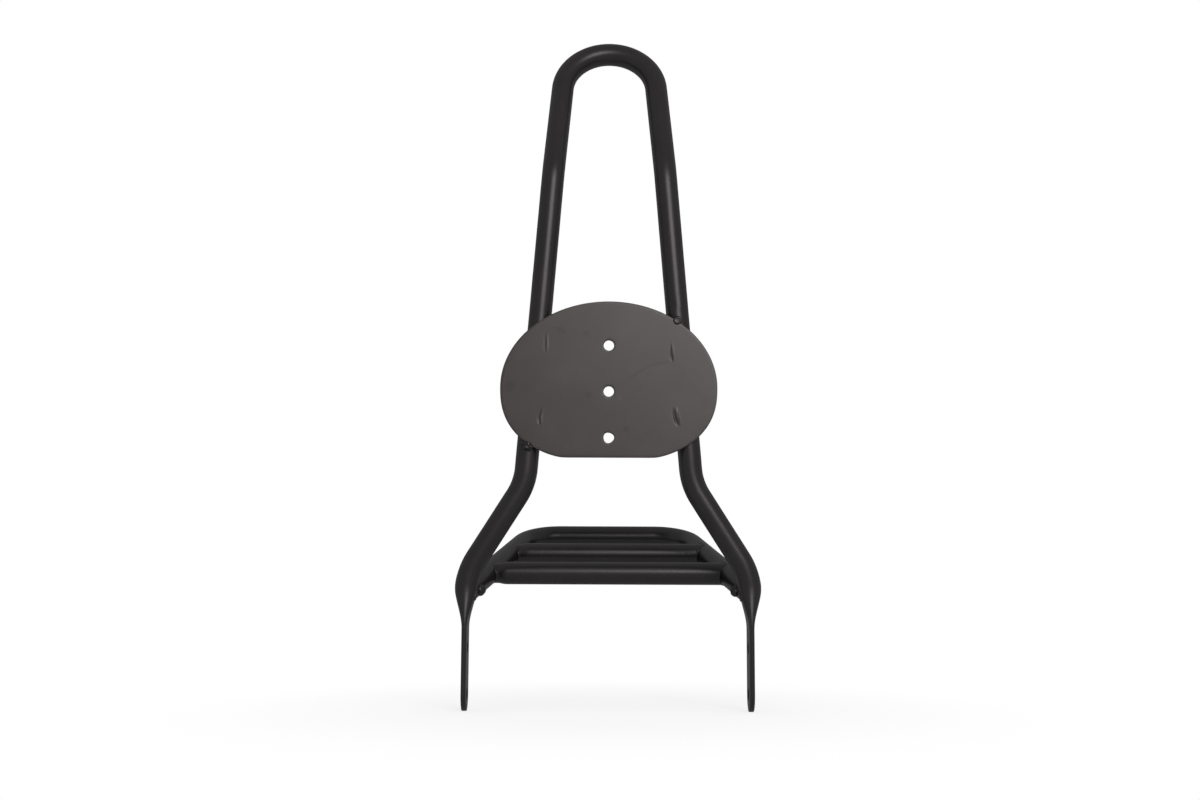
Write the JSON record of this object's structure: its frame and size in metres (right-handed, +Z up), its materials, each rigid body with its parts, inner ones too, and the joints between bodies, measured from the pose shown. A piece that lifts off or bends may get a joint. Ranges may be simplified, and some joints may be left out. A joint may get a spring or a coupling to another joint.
{
  "type": "sissy bar",
  "caption": "Satin black motorcycle sissy bar of bent tube, with an oval backrest pad plate, a small luggage rack and flattened, drilled ends.",
  "frame": {"origin": "midway between the lower mounting holes of the two flattened ends, in the middle plane of the hoop's tube", "axes": "+Z up the straight part of the hoop's legs, -Y to the front, where the pad plate faces, +X to the side that is on the right in a view from the front"},
  "size_m": [0.2916, 0.2119, 0.6705],
  "materials": {
    "tube_coating": "satin black powder coat on steel tube",
    "plate_coating": "satin black powder coat on flat steel plate, lighter where it faces the light",
    "weld_coating": "satin black powder coat over rippled weld bead"
  },
  "bodies": {
    "root": {"main_hoop": "tube_coating", "pad_plate": "plate_coating", "rack_loop": "tube_coating", "rack_front_bar": "tube_coating", "rack_middle_bar": "tube_coating", "plate_welds": "weld_coating", "rack_arm_welds": "weld_coating", "rack_bar_welds": "weld_coating"}
  },
  "joints": []
}
